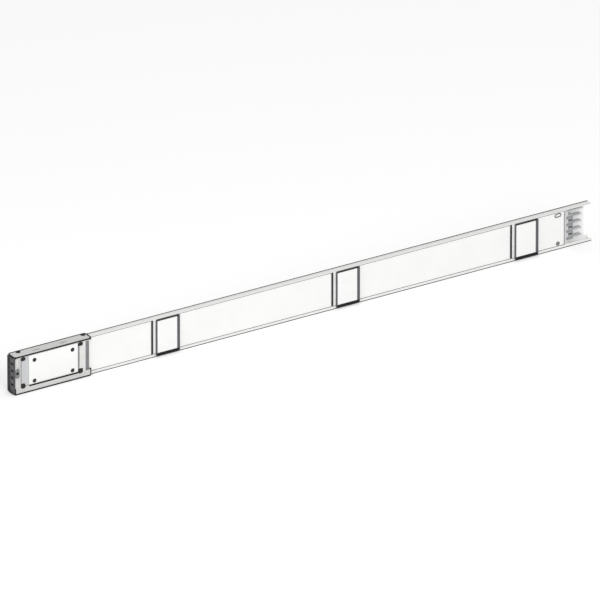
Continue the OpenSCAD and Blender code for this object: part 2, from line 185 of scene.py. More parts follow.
def fit_piece(name, mesh, material, replaced, body="casing"):
    """Puts a finished mesh in the scene on its body: its faces turned outwards, smooth but for
    the edges that turn by more than the crease angle."""
    turned_out = bmesh.new()
    turned_out.from_mesh(mesh)
    bmesh.ops.recalc_face_normals(turned_out, faces=turned_out.faces)
    turned_out.to_mesh(mesh)
    turned_out.free()
    mesh.shade_smooth()
    mesh.set_sharp_from_angle(angle=crease)
    mesh.materials.clear()
    mesh.materials.append(material)
    made = bpy.data.objects.new(name, mesh)
    bpy.context.scene.collection.objects.link(made)
    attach(made, body)
    if replaced:
        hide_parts(*replaced)
    return made


def add_piece(name, skins, material, replaced=(), body="casing"):
    """One piece from several closed skins."""
    starts = np.cumsum([0] + [len(points) for points, _, _ in skins])
    faces = [face for start, (_, sides, ends) in zip(starts, skins)
             for face in [*(sides + start).tolist(), *[(end + start).tolist() for end in ends]]]
    mesh = bpy.data.meshes.new(name)
    mesh.from_pydata(np.concatenate([points for points, _, _ in skins]).tolist(), [], faces)
    return fit_piece(name, mesh, material, replaced, body)


def object_noise(tree, size, detail=2.0, stretch=(1, 1, 1)):
    """Noise on the piece's own coordinates, with blotches of a size in metres, and longer in
    each direction by its stretch."""
    place = add_node(tree, "ShaderNodeTexCoord").outputs["Object"]
    scaled = add_node(tree, "ShaderNodeMapping", {"Vector": place},
                      Scale=[1 / (size * times) for times in stretch])
    return add_node(tree, "ShaderNodeTexNoise", {"Vector": scaled.outputs[0]}, Scale=1.0,
                    Detail=detail).outputs["Fac"]


def surface_finish(name, dark, light, blotch, grain, depth, smooth, rough, stretch=(1, 1, 1),
                   **settings):
    """A solid finish: two close tones in blotches, and a fine grain that sets the surface's
    bumps, by its depth, and the roughness, from smooth to rough."""
    material, tree = new_material(name)
    tones = add_node(tree, "ShaderNodeValToRGB", {"Fac": object_noise(tree, blotch, 3.0, stretch)})
    tones.color_ramp.elements[0].position, tones.color_ramp.elements[1].position = 0.3, 0.7
    tones.color_ramp.elements[0].color = linear(dark)
    tones.color_ramp.elements[1].color = linear(light)
    fine = object_noise(tree, grain, 2.0, stretch)
    bumps = add_node(tree, "ShaderNodeBump", {"Height": fine}, Distance=depth, Strength=1.0)
    roughness = add_node(tree, "ShaderNodeMapRange", {"Value": fine}, To_Min=smooth, To_Max=rough)
    shader = add_node(tree, "ShaderNodeBsdfPrincipled",
                      {"Base Color": tones.outputs["Color"], "Normal": bumps.outputs[0],
                       "Roughness": roughness.outputs[0]}, **settings)
    add_node(tree, "ShaderNodeOutputMaterial", {"Surface": shader.outputs[0]})
    return material


# Polyester powder coat: satin, with an orange peel drawn a little coarser than the real 2 mm
orange_peel = dict(grain=3 * MM, depth=0.03 * MM, IOR=1.5)
# Its two tones sit a shade below the covers' white: painted shade on the casing's top and lip
casing_coat_with_painted_shade = surface_finish("polyester powder coat, off-white with painted shade", "#ececea", "#f0f0ee",
                             blotch=90 * MM, smooth=0.38, rough=0.52, **orange_peel)
channel_low, channel_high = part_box("front_lip")[0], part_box("back_lip")[1]
half_depth, lip_top = channel_high[1], channel_high[2]
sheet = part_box("bottom_flange")[1][2]
fold = 1.0 * MM  # the inner radius of a bend
bend_y, bend_z = half_depth - sheet - fold, sheet + fold
edge = sheet / 2
channel_profile = np.concatenate([
    arc((edge - half_depth, lip_top - edge), edge, 90, 180),
    arc((-bend_y, bend_z), fold + sheet, 180, 270), arc((bend_y, bend_z), fold + sheet, 270, 360),
    arc((half_depth - edge, lip_top - edge), edge, 0, 180),
    arc((bend_y, bend_z), fold, 360, 270), arc((-bend_y, bend_z), fold, 270, 180),
    arc((edge - half_depth, lip_top - edge), edge, 0, 75)])
channel = np.empty((2, len(channel_profile), 3))
channel[..., 0] = [[channel_low[0]], [channel_high[0]]]
channel[..., 1:] = channel_profile
add_piece("bottom_channel_pressing", [skin(channel)], casing_coat_with_painted_shade,
          ("bottom_flange", "front_lip", "back_lip"))


# ---- Top flange ----
# The casing's flat top, which runs on past the covers at the open end. The same sheet and
# the same coat with its painted shade, which greys the top, and its edges sheared and deburred.
def rounded_rectangles(axis, places, lows, highs, radii, steps=4):
    """Rounded rectangles across an axis, one row for each place along it: a point is the centre
    of its corner plus the corner's radius times a direction."""
    places = np.array(places, float, ndmin=1)
    quarter = np.radians(np.linspace(0, 90, steps))
    turn = (quarter + np.arange(4)[:, None] * math.pi / 2).ravel()
    on_high_side = np.repeat([[1, 1], [0, 1], [0, 0], [1, 0]], steps, 0).astype(bool)
    lows = np.broadcast_to(lows, (len(places), 2))[:, None]
    highs = np.broadcast_to(highs, (len(places), 2))[:, None]
    radii = np.broadcast_to(radii, len(places))[:, None, None]
    grid = np.empty((len(places), 4 * steps, 3))
    grid[..., [i for i in range(3) if i != axis]] = (
        np.where(on_high_side, highs - radii, lows + radii)
        + radii * np.stack([np.cos(turn), np.sin(turn)], 1))
    grid[..., axis] = places[:, None]
    return grid


def rounded_block(low, high, radius, axis=0, steps=4):
    """A block with rounded edges. At angle a its row lies the radius times 1 - sin a inside the
    end, and is drawn in by the radius times 1 - cos a."""
    low, high = np.asarray(low, float), np.asarray(high, float)
    across = [i for i in range(3) if i != axis]
    turn = np.radians(np.linspace(84, 0, steps))
    inset, step = radius * (1 - np.cos(turn)), radius * (1 - np.sin(turn))
    insets = np.concatenate([inset, inset[::-1]])
    return skin(rounded_rectangles(
        axis, np.concatenate([low[axis] + step, high[axis] - step[::-1]]),
        low[across] + insets[:, None], high[across] - insets[:, None], radius - insets, steps))


deburred = 0.6 * MM
add_piece("top_flange_strip", [rounded_block(*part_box("top_flange"), deburred)], casing_coat_with_painted_shade,
          ("top_flange",))


# ---- Covers ----
# Flat sheets between the flanges: one along the back, and four along the front between the
# outlets. Laser-cut steel in a whiter coat, riveted to the flanges.
# Points this near are one, faces this level are joined, and edges this sharp are rounded
same_point, level_faces, sharp_edge = 0.001 * MM, math.radians(0.5), math.radians(40)


def softened(node, name, material, radius, segments=2, body="casing"):
    """The node's own solid with its triangles joined into flat faces, and its edges rounded."""
    solid = bmesh.new()
    solid.from_mesh(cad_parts[node].data)
    bmesh.ops.remove_doubles(solid, verts=solid.verts, dist=same_point)
    bmesh.ops.dissolve_limit(solid, angle_limit=level_faces, verts=solid.verts, edges=solid.edges)
    mesh = bpy.data.meshes.new(name)
    solid.to_mesh(mesh)
    solid.free()
    made = fit_piece(name, mesh, material, (node,), body)
    rounding = made.modifiers.new("rounded edges", "BEVEL")
    rounding.width = radius
    rounding.segments = segments
    rounding.limit_method = "ANGLE"
    rounding.angle_limit = sharp_edge
    rounding.use_clamp_overlap = False
    rounding.harden_normals = True
    return made


# The same kind of coat in white: satin, with a fine peel that only shows where light grazes it
cover_coat = surface_finish("polyester powder coat, white", "#f6f6f5", "#f9f9f8",
                            blotch=120 * MM, smooth=0.40, rough=0.55, **orange_peel)
cut_edge = 0.4 * MM
softened("back_cover", "back_cover_sheet", cover_coat, cut_edge)
for k in range(1, 5):
    softened(f"front_cover_{k}", f"front_cover_sheet_{k}", cover_coat, cut_edge)


# ---- Catch slot ----
# A finger slot near the open end, by which the last cover is pulled off. A black rubber ring
# guards its edge, and a white moulded cup closes it behind.
thinnest_corner = 0.2 * MM


def framed_opening(low, high, hole_low, hole_high, corner, hole_corner, radius, steps=5):
    """A flat frame across Y with rounded front edges. Its rows are rounded rectangles: up the
    outside, over the outer edge, over the inner edge and down the inside, each edge a quarter
    circle, and the last row joins the first along the back."""
    turn = np.radians(np.linspace(0, 90, steps))
    inset, place = radius * (1 - np.cos(turn)), low[1] + radius * (1 - np.sin(turn))
    low2, high2 = np.array(low)[[0, 2]], np.array(high)[[0, 2]]
    outside = np.concatenate([[0], inset])[:, None]
    inside = np.concatenate([inset[::-1], [0]])[:, None]
    return skin(np.concatenate([
        rounded_rectangles(1, [high[1], *place], low2 + outside, high2 - outside,
                           np.maximum(corner - outside[:, 0], thinnest_corner), 6),
        rounded_rectangles(1, [*place[::-1], high[1]], np.array(hole_low) - inside,
                           np.array(hole_high) + inside, hole_corner + inside[:, 0], 6)]),
        ring=True)


# EPDM rubber and polyurethane sealant: black and matt, with a faint skin
rubber_skin = dict(blotch=12 * MM, grain=1.2 * MM, depth=0.03 * MM)
dull_rubber = dict(smooth=0.70, rough=0.88, Specular_IOR_Level=0.3, **rubber_skin)
black_rubber = surface_finish("black EPDM rubber", "#0c0c0d", "#141415", **dull_rubber)
# Moulded ABS: white, with the even sheen of a finely etched mould
etched_abs = dict(grain=1.5 * MM, depth=0.015 * MM, smooth=0.30, rough=0.42, IOR=1.54)
cup_plastic = surface_finish("moulded ABS, white", "#f2f2f1", "#f6f6f5", blotch=30 * MM,
                             **etched_abs)


def black_rubber_piece(name, skins, replaced=()):
    """One piece from several closed skins, in black rubber."""
    return add_piece(name, skins, black_rubber, replaced)


low, high = np.array(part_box("front_cover_4"))
screw_low, screw_high = np.array(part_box("cover_screw"))
slot_size, slot_drop = np.array([30, 12]) * MM, 17 * MM
ring_width, ring_proud, ring_edge = 4 * MM, 1.4 * MM, 0.7 * MM
cup_deep, cup_edge = 2.5 * MM, 1 * MM
bite = 0.1 * MM  # how far a fitted piece sinks into what carries it
slot_middle = np.array([(screw_low[0] + screw_high[0]) / 2,
                        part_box("top_flange")[1][2] - slot_drop])
slot_low, slot_high = slot_middle - slot_size / 2, slot_middle + slot_size / 2
ring_low, ring_high = slot_low - ring_width, slot_high + ring_width
black_rubber_piece("catch_slot_ring", [
    framed_opening((ring_low[0], low[1] - ring_proud, ring_low[1]),
                   (ring_high[0], low[1] + bite, ring_high[1]), slot_low, slot_high,
                   ring_high[1] - slot_middle[1] - bite, slot_size[1] / 2 - bite, ring_edge)])
add_piece("catch_slot_cup",
          [rounded_block((ring_low[0], high[1], ring_low[1]),
                         (ring_high[0], high[1] + cup_deep, ring_high[1]), cup_edge)],
          cup_plastic)


# ---- Cover screw ----
# The one screw that holds the last cover, on a cupped washer. Steel, cold-headed with a cross
# recess and zinc-plated: passivated clear here, and black on the joint block's screws.
def screw_head(centre, radius, height, side, rings=14, sides=64):
    """A domed head with a cross recess, facing -Y for side -1 and +Y for side 1. Its height is
    a parabola's, less the recess where both the nearer axis is within an arm's half width and
    the farther one within an arm's length, and its last rows go down to the seat."""
    arm_half, arm_long, side_slope, end_slope = 0.14, 0.62, 0.05, 0.12
    dome, recess = 0.35, 0.55
    share = np.linspace(0.03, 1, rings)[:, None]
    turn = np.linspace(0, 2 * math.pi, sides, endpoint=False)[None]
    x, z = share * np.cos(turn), share * np.sin(turn)
    near, far = np.minimum(abs(x), abs(z)), np.maximum(abs(x), abs(z))
    arm = (np.clip((arm_half - near) / side_slope, 0, 1)
           * np.clip((arm_long - far) / end_slope, 0, 1))
    rise = height * (1 - dome * share ** 2) - recess * height * arm
    x, z = np.concatenate([x, x[-1:]]), np.concatenate([z, z[-1:]])
    rise = np.concatenate([rise, np.zeros((1, sides))])
    return skin(np.stack([centre[0] + radius * x, centre[1] + side * rise,
                          centre[2] + radius * z], -1))


def turned_along(axis, centre, profile, sides=32, ring=False):
    """A profile of radius and height turned about a line along an axis. Its ends are closed
    flat, or joined where the profile is a ring's section."""
    turn = np.linspace(0, 2 * math.pi, sides, endpoint=False)[None]
    radius, height = np.asarray(profile).T[..., None]
    across = [i for i in range(3) if i != axis]
    grid = np.empty((len(radius), sides, 3))
    grid[..., across[0]] = centre[across[0]] + radius * np.cos(turn)
    grid[..., across[1]] = centre[across[1]] + radius * np.sin(turn)
    grid[..., axis] = centre[axis] + height
    return skin(grid, ring)


def sealing_washer(centre, radius, height, side):
    """A flat cone on a round foot under a screw head: its height falls slowly near the middle
    and fast at its rim."""
    share = np.array([0.05, 0.3, 0.5, 0.65, 0.8, 0.92, 1.0, 1.0])
    rise = np.array([1, 0.98, 0.93, 0.85, 0.68, 0.45, 0.18, 0.0])
    return turned_along(1, centre, np.stack([radius * share, side * height * rise], 1), 48)


# Zinc plate: the soft sheen of a blued tool where passivated black, and dull grey where clear
zinc_plate = dict(blotch=4 * MM, grain=0.6 * MM, depth=0.01 * MM, smooth=0.32, rough=0.48,
                  Metallic=0.2, IOR=1.6)
black_zinc = surface_finish("black-passivated zinc on steel", "#1d1e20", "#26272a", **zinc_plate)
dull_zinc = surface_finish("clear-passivated zinc on steel", "#747577", "#838486", **zinc_plate)
washer_radius, washer_high = 11 * MM, 2.2 * MM
seat = (slot_middle[0], low[1], (screw_low[2] + screw_high[2]) / 2)
add_piece("cover_screw_head",
          [screw_head(seat, (screw_high[0] - screw_low[0]) / 2, low[1] - screw_low[1], -1)],
          dull_zinc, ("cover_screw",))
add_piece("cover_screw_washer", [sealing_washer(seat, washer_radius, washer_high, -1)],
          dull_zinc)


# ---- Seam seals ----
# Where the covers meet the flanges the seams are closed with a thin bead of black sealant, run
# with a nozzle. Push-on strips of the same rubber guard the casing's back top edge, its front
# bottom edge and the channel's open end. The strip on the front bottom edge also stands in for
# the shadow where the casing meets the floor: partly painted shadow.
bead_round = 0.48  # a bead's edge radius, as a share of its thickness


def seal_run(x1, x2, y1, y2, z1, z2):
    """A straight bead with round edges along X."""
    return rounded_block((x1, y1, z1), (x2, y2, z2), bead_round * min(y2 - y1, z2 - z1))


casing_low, casing_high = np.array(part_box("top_flange"))
cover_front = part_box("front_cover_1")[0][1]
strip_high, strip_deep, bead_high, bead_deep = 2.4 * MM, 3 * MM, 1.9 * MM, 1.4 * MM
black_rubber_piece("top_edge_strip", [
    seal_run(casing_low[0], casing_high[0], casing_high[1] - strip_deep, casing_high[1],
             casing_high[2], casing_high[2] + strip_high)])
starts = [casing_low[0]] + [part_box(f"outlet_{k}_plate")[1][0] for k in (1, 2, 3)]
ends = [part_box(f"outlet_{k}_seal")[0][0] for k in (1, 2, 3)] + [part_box("front_cover_4")[1][0]]
for name, z in (("top_seam_seal", casing_low[2] - bead_high), ("lip_seam_seal", lip_top)):
    black_rubber_piece(name, [
        seal_run(x1, x2, cover_front - bead_deep, cover_front, z, z + bead_high)
        for x1, x2 in zip(starts, ends)])
base_tall, base_proud, base_hold, base_round = 3.4 * MM, 0.8 * MM, 1 * MM, 0.5 * MM
# A black push-on strip along the floor line, which also serves as painted contact shadow there
black_rubber_piece("base_edge_strip_with_painted_shadow", [
    rounded_block((casing_low[0], casing_low[1] - base_proud, 0),
                  (casing_high[0], casing_low[1] + base_hold, base_tall), base_round)])
end_wide, end_high, end_sunk, end_round = 1.4 * MM, 0.8 * MM, 0.2 * sheet, 0.3 * MM
black_rubber_piece("channel_end_strip", [
    rounded_block((channel_high[0] - end_wide, edge - half_depth, sheet - end_sunk),
                  (channel_high[0], half_depth - edge, sheet + end_high), end_round, axis=1)])


# ---- Busbars ----
# Four flat bars, one above the other. Drawn aluminium, tin-plated over its whole length, with
# the ends chamfered so that they slide into the next section's contacts.

# Tin plate: a soft pale metal, with the fine lines that drawing leaves along the bar
tin_plate = surface_finish("tin-plated drawn aluminium", "#b2b4b6", "#c6c8ca",
                           blotch=10 * MM, grain=0.8 * MM, depth=0.02 * MM,
                           smooth=0.28, rough=0.42, stretch=(40, 1, 1), Metallic=1.0)
end_chamfer, end_taper, bar_edge = 3.0 * MM, 1.2 * MM, 0.8 * MM
drawn_in = np.array([end_taper, 0, 0, end_taper])[:, None]
for k in range(1, 5):
    low, high = np.array(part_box(f"busbar_{k}"))
    places = [low[0], low[0] + end_chamfer, high[0] - end_chamfer, high[0]]
    add_piece(f"flat_bar_{k}", [skin(rounded_rectangles(0, places, low[1:] + drawn_in,
                                                        high[1:] - drawn_in, bar_edge))],
              tin_plate, (f"busbar_{k}",))


# ---- End comb ----
# Holds the four bars apart at the open end. Moulded in one piece from pale grey glass-filled
# polyester, with a darker cap over each arm. A tinned strip above the bars carries the earth.

# Glass-filled polyester: dull, and faintly mottled by the glass near its skin
polyester_skin = dict(blotch=7 * MM, grain=1.0 * MM, depth=0.04 * MM, smooth=0.45, rough=0.62,
                      IOR=1.55)
comb_polyester = surface_finish("glass-filled polyester, pale grey", "#c6c7c8", "#d0d1d2",
                                **polyester_skin)
cap_polyester = surface_finish("glass-filled polyester, mid grey", "#88898b", "#949597",
                               **polyester_skin)
comb_edge = 0.8 * MM
softened("end_comb", "end_comb_moulding", comb_polyester, comb_edge, 3)
comb_low, comb_high = np.array(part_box("end_comb"))
bar_boxes = [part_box(f"busbar_{k}") for k in range(1, 5)]
bar_middles = [(low[2] + high[2]) / 2 for low, high in bar_boxes]
rising = sorted(bar_middles)
cap_setback, cap_proud, cap_short, cap_half_height = 9 * MM, 1.2 * MM, 6 * MM, 8 * MM
rib_deep, rib_proud, rib_short, rib_lap = 3 * MM, 2 * MM, 8 * MM, 7 * MM
rib_inset, cap_edge, rib_edge = 0.4 * MM, 2 * MM, 1.5 * MM
caps = [rounded_block((comb_low[0] + cap_setback, comb_low[1] - cap_proud, z - cap_half_height),
                      (comb_high[0] + cap_proud, comb_high[1] - cap_short, z + cap_half_height),
                      cap_edge, steps=5) for z in bar_middles]
ribs = [rounded_block((comb_high[0] - rib_deep, comb_low[1] + rib_inset, below + rib_lap),
                      (comb_high[0] + rib_proud, comb_high[1] - rib_short, above - rib_lap),
                      rib_edge) for below, above in zip(rising[:-1], rising[1:])]
add_piece("end_comb_caps", caps + ribs, cap_polyester)
earth_reach, earth_drop, earth_thick, earth_edge = 61 * MM, 8 * MM, 6 * MM, 0.8 * MM
bar_low, bar_high = np.array(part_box("busbar_1"))
add_piece("earth_strip",
          [rounded_block((comb_low[0] + cap_setback, bar_low[1],
                          comb_high[2] - earth_drop - earth_thick),
                         (comb_high[0] + earth_reach, bar_high[1], comb_high[2] - earth_drop),
                         earth_edge)],
          tin_plate)


# ---- Contact carrier and joint housing ----
# The two mouldings inside the joint block: a slate grey one in the mouth that takes the next
# section's bars, and a pale grey one that holds this section's bars. Glass-filled polyamide.

# Moulded polyamide: low sheen, with a spark-eroded grain drawn a little coarse
eroded_grain = dict(blotch=9 * MM, grain=0.9 * MM, depth=0.03 * MM)
dull_polyamide = dict(smooth=0.48, rough=0.66, Specular_IOR_Level=0.35, **eroded_grain)
satin_polyamide = dict(smooth=0.45, rough=0.62, IOR=1.53, **eroded_grain)
black_polyamide = surface_finish("glass-filled polyamide, black", "#0e0e0f", "#161617",
                                 **dull_polyamide)
carrier_polyamide = surface_finish("glass-filled polyamide, slate grey", "#5a5b5d", "#646567",
                                   **dull_polyamide)
grey_polyamide = surface_finish("glass-filled polyamide, grey", "#c4c5c6", "#cecfd0",
                                **satin_polyamide)
carrier_edge, housing_edge = 0.7 * MM, 0.5 * MM
softened("contact_carrier", "contact_carrier_moulding", carrier_polyamide,
         carrier_edge)
softened("joint_housing", "joint_housing_moulding", grey_polyamide, housing_edge)


# ---- Contact forks ----
# Each bar's end is held by a sprung fork of two leaves that flare at the mouth. Hard copper
# strip, stamped, bent and silver-flashed, riveted through the bar.

# Hard copper: warm and bright, with fine rolling lines along the strip
copper_strip = surface_finish("rolled copper strip", "#b9805c", "#c68f6b",
                              blotch=6 * MM, grain=0.6 * MM, depth=0.01 * MM,
                              smooth=0.25, rough=0.40, stretch=(12, 1, 1), Metallic=1.0)


def fork_leaf(x1, x2, half_width, centre_z, clear, thick, side, rows=22):
    """A leaf above the bar, side 1, or below it, side -1. Its gap from the bar's middle is the
    clearance, plus a flare that grows with the square of the way to the mouth, less a shallow
    wave, a bell curve that presses on the bar."""
    flare, flare_end = 1.4 * MM, 0.22
    wave, wave_middle, wave_half, wave_end = 0.5 * MM, 0.34, 0.09, 0.6
    way = np.linspace(0, 1, rows)
    gap = clear + flare * np.clip((flare_end - way) / flare_end, 0, 1) ** 2
    gap -= wave * np.exp(-((way - wave_middle) / wave_half) ** 2) * (way < wave_end)
    leaf = np.empty((rows, 4, 3))
    leaf[..., 0] = (x1 + (x2 - x1) * way)[:, None]
    leaf[..., 1] = [-half_width, half_width, half_width, -half_width]
    leaf[..., 2] = centre_z + side * (gap[:, None] + np.array([0, 0, thick, thick]))
    return skin(leaf)


web_long, web_edge = 6 * MM, 0.6 * MM
for k in range(1, 5):
    low, high = np.array(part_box(f"contact_fork_{k}"))
    bar_low, bar_high = np.array(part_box(f"busbar_{k}"))
    thick = (high[2] - low[2] - bar_high[2] + bar_low[2]) / 2
    clear, centre_z = (bar_high[2] - bar_low[2]) / 2, (low[2] + high[2]) / 2
    web = rounded_block((bar_low[0] - web_long, low[1], bar_low[2] - thick / 2),
                        (bar_low[0] - bite, high[1], bar_high[2] + thick / 2), web_edge)
    add_piece(f"spring_fork_{k}",
              [fork_leaf(low[0], high[0], high[1], centre_z, clear, thick, side)
               for side in (-1, 1)] + [web], copper_strip, (f"contact_fork_{k}",))


# ---- Rails of the joint block ----
# A tray below and a shallower one above tie the block together, with the holes for its hangers.
# Pressed from 4 mm steel and powder-coated light grey.

# Grey coat: satin like the casing's, and its flat faces take a soft even light
rail_coat = surface_finish("polyester powder coat, light grey", "#cdcdcb", "#d3d3d1",
                           blotch=80 * MM, smooth=0.40, rough=0.54, **orange_peel)
rail_end, end_room, end_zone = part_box("top_rail")[0][0], 1.2 * MM, 30 * MM
pressed_edge = 0.6 * MM
for name in ("top_rail", "bottom_rail"):
    rail = softened(name, name + "_pressing", rail_coat, pressed_edge, 3)
    places = np.empty(len(rail.data.vertices) * 3)
    rail.data.vertices.foreach_get("co", places)
    # leaves room for the end seal: a point moves in by the room, less with its way from the end
    places[::3] += end_room * np.clip(1 - (places[::3] - rail_end) / end_zone, 0, 1)
    rail.data.vertices.foreach_set("co", places)


# ---- Edge trims of the rails ----
# Push-on trims guard the rails' long edges and the round corners at both ends. Black EPDM with
# a wire core, pressed on over the sheared edge, so they stand a little proud of the rail.
trim_round = 1.2 * MM


def edge_trim(low, high, corner, z1, z2, proud, grip, arcs, steps=12):
    """A trim round a rail's footprint: its rows stand along corner arcs, and a row is the trim's
    section, its width along the arc's radius. An arc is its start and end in degrees and its
    corner's side in X and in Y; four arcs make a ring."""
    section = rounded_rectangles(2, 0, (-grip, z1), (proud, z2), trim_round, 5)[0]
    start, end, side_x, side_y = np.array(arcs, dtype=float).T
    turn = np.radians(np.linspace(start, end, steps, axis=1)).reshape(-1, 1)
    centre_x = np.where(side_x > 0, high[0] - corner, low[0] + corner).repeat(steps)[:, None]
    centre_y = np.where(side_y > 0, high[1] - corner, low[1] + corner).repeat(steps)[:, None]
    reach = corner + section[None, :, 0]
    grid = np.stack(np.broadcast_arrays(centre_x + reach * np.cos(turn),
                                        centre_y + reach * np.sin(turn),
                                        section[None, :, 1]), -1)
    return skin(grid, ring=len(arcs) == 4)


# Corner arcs of a whole ring, of the top rail's round ends, and of the bottom rail's corners
all_round = [(180, 270, -1, -1), (270, 360, 1, -1), (0, 90, 1, 1), (90, 180, -1, 1)]
round_ends = [[(110, 180, -1, 1), (180, 250, -1, -1)], [(-75, 0, 1, -1), (0, 75, 1, 1)]]
base_corners = [(110, 148, -1, 1), (212, 250, -1, -1), (-75, -10, 1, -1), (10, 75, 1, 1)]
rail_corner, trim_proud, top_grip, base_grip = 14 * MM, 0.8 * MM, 4.5 * MM, 2 * MM
trim_below, trim_above, base_trim_high = 4.6 * MM, 1.8 * MM, 7.5 * MM
block_low, block_high = np.array(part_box("top_rail")) + [[end_room, 0, 0], [0, 0, 0]]
base_low, base_high = np.array(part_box("bottom_rail")) + [[end_room, 0, 0], [0, 0, 0]]
black_rubber_piece("top_rail_trim", [
    edge_trim(block_low, block_high, rail_corner, block_high[2] - trim_below,
              block_high[2] + trim_above, trim_proud, top_grip, all_round)])
black_rubber_piece("bottom_rail_trim", [
    edge_trim(base_low, base_high, rail_corner, 0, base_trim_high, trim_proud, base_grip,
              all_round)])
guard_proud, guard_grip, guard_clear = 1 * MM, 5 * MM, 0.3 * MM
guard_above, base_guard_above = 2.2 * MM, 0.8 * MM
top_guards = [edge_trim(block_low, block_high, rail_corner, block_low[2] + guard_clear,
                        block_high[2] + guard_above, guard_proud, guard_grip, arcs)
              for arcs in round_ends]
base_guards = [edge_trim(base_low, base_high, rail_corner, 0, base_high[2] + base_guard_above,
                         guard_proud, guard_grip, [one_corner]) for one_corner in base_corners]
black_rubber_piece("rail_end_guards", top_guards + base_guards)
panel_low, panel_high = np.array(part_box("front_panel"))
lip_trim_below, lip_trim_above, lip_trim_edge = 4.8 * MM, 2.8 * MM, 0.9 * MM
black_rubber_piece("bottom_lip_trims", [
    rounded_block((panel_low[0], y1, base_high[2] - lip_trim_below),
                  (panel_high[0], y2, base_high[2] + lip_trim_above), lip_trim_edge)
    for y1, y2 in ((base_low[1] - trim_proud, base_low[1] + base_grip),
                   (base_high[1] - base_grip, base_high[1] + trim_proud))])


# ---- Collars ----
# The end collar takes the next section, and the casing collar grips this one. Die-cast
# aluminium, machined where the screws sit, and powder-coated in two greys.

# Coat over a cast skin: the same satin, with a coarser peel than on sheet
cast_coat = dict(blotch=40 * MM, grain=2.2 * MM, depth=0.06 * MM, smooth=0.42, rough=0.58,
                 IOR=1.5)
collar_coat = surface_finish("powder coat on cast aluminium, pale grey", "#dcdcda", "#e2e2e0",
                             **cast_coat)
mouth_coat = surface_finish("powder coat on cast aluminium, grey", "#c8c8c6", "#cfcfcd",
                            **cast_coat)
cast_edge = 0.4 * MM
softened("end_collar", "end_collar_casting", mouth_coat, cast_edge)
softened("casing_collar", "casing_collar_casting", collar_coat, cast_edge)


def button(x1, x2, z1, z2, base, top, radius=1.5 * MM, rows=6):
    """An obround button: its outline draws in along a quarter circle towards its top."""
    turn = np.radians(np.linspace(0, 84, rows))
    inset = np.concatenate([[0], radius * (1 - np.cos(turn))])
    way = np.concatenate([[0], abs(top - base) - radius + radius * np.sin(turn)])
    return skin(rounded_rectangles(1, base + np.sign(top - base) * way,
                                   np.array([x1, z1]) + inset[:, None],
                                   np.array([x2, z2]) - inset[:, None],
                                   min(x2 - x1, z2 - z1) / 2 - 0.01 * MM - inset, 8))


low, high = np.array(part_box("collar_screws"))
middle = (low + high) / 2
collar_faces = {-1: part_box("end_collar")[0][1], 1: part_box("end_collar")[1][1]}
seats = [(side, (middle[0], face, middle[2])) for side, face in collar_faces.items()]
add_piece("collar_screw_heads",
          [screw_head(seat, (high[0] - low[0]) / 2, high[1] - collar_faces[1], side)
           for side, seat in seats],
          black_zinc, ("collar_screws",))
plate_half_width, plate_half_height = 12 * MM, 26 * MM
plate_sunk, plate_proud, plate_edge = 0.6 * MM, 0.5 * MM, 0.4 * MM
add_piece("collar_screw_plates",
          [button(middle[0] - plate_half_width, middle[0] + plate_half_width,
                  middle[2] - plate_half_height, middle[2] + plate_half_height,
                  face - side * plate_sunk, face + side * plate_proud, plate_edge)
           for side, face in collar_faces.items()],
          dull_zinc)
collar_washer_radius, collar_washer_high = 8.5 * MM, 1 * MM
black_rubber_piece("collar_screw_washers", [
    sealing_washer(seat, collar_washer_radius, collar_washer_high, side)
    for side, seat in seats])
slot_way, pad_sunk, pad_proud = 52 * MM, 1.9 * MM, 0.4 * MM
slot_width, slot_length, slot_clear = 9 * MM, 40 * MM, 0.2 * MM
pad_half_width, pad_half_length = slot_width / 2 - slot_clear, slot_length / 2 - slot_clear
add_piece("collar_slot_pads",
          [button(middle[0] - pad_half_width, middle[0] + pad_half_width,
                  z - pad_half_length, z + pad_half_length,
                  face - side * pad_sunk, face + side * pad_proud)
           for side, face in collar_faces.items()
           for z in (middle[2] - slot_way, middle[2] + slot_way)],
          collar_coat)


# ---- Mouth seal and strip seals ----
# A flat ring of slate grey rubber on the end collar's face, wrapped round its upright edges and
# lining the mouth, seals against the next section. Upright strips close the gaps beside the
# cover panels.
def flat_ring(x1, x2, low, high, hole_low, hole_high, corner, hole_corner):
    """A flat ring across X: outside and inside are rounded rectangles, joined at both faces."""
    return skin(np.concatenate([
        rounded_rectangles(0, [x1, x2], low, high, corner, 6),
        rounded_rectangles(0, [x2, x1], hole_low, hole_high, hole_corner, 6)]), ring=True)


collar_low, collar_high = np.array(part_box("end_collar"))
mouth_low, mouth_high = np.array(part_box("contact_carrier"))
# EPDM rubber in two greys: matt and even, like the black
slate_rubber = surface_finish("slate grey EPDM rubber", "#4c4d4f", "#56575a", **rubber_skin,
                              smooth=0.68, rough=0.86, Specular_IOR_Level=0.3)
grey_rubber = surface_finish("grey EPDM rubber", "#7a7b7d", "#858688", **rubber_skin,
                             smooth=0.65, rough=0.82, IOR=1.5)
seal_lip, seal_corner, lip_corner, liner_short = 1 * MM, 4 * MM, 1 * MM, 0.2 * MM
face_ring = flat_ring(rail_end, collar_low[0] + bite, collar_low[1:], collar_high[1:],
                      mouth_low[1:] + seal_lip, mouth_high[1:] - seal_lip, seal_corner, lip_corner)
mouth_liner = flat_ring(collar_low[0], mouth_low[0] + liner_short, mouth_low[1:] - bite,
                        mouth_high[1:] + bite, mouth_low[1:] + seal_lip,
                        mouth_high[1:] - seal_lip, lip_corner, lip_corner)
wrap, wrap_half, wrap_edge, wrap_below, wrap_above = 6 * MM, 0.5 * MM, 0.4 * MM, 0.4 * MM, 0.5 * MM
wraps = [rounded_block((rail_end, y - wrap_half, base_high[2] - wrap_below),
                       (rail_end + wrap, y + wrap_half, block_low[2] + wrap_above), wrap_edge,
                       axis=2) for y in (collar_low[1], collar_high[1])]
add_piece("mouth_seal", [face_ring, mouth_liner] + wraps, slate_rubber)
gap_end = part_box("casing_collar")[0][0]
upright_width, upright_clear, upright_edge = 3 * MM, 4 * MM, 0.9 * MM
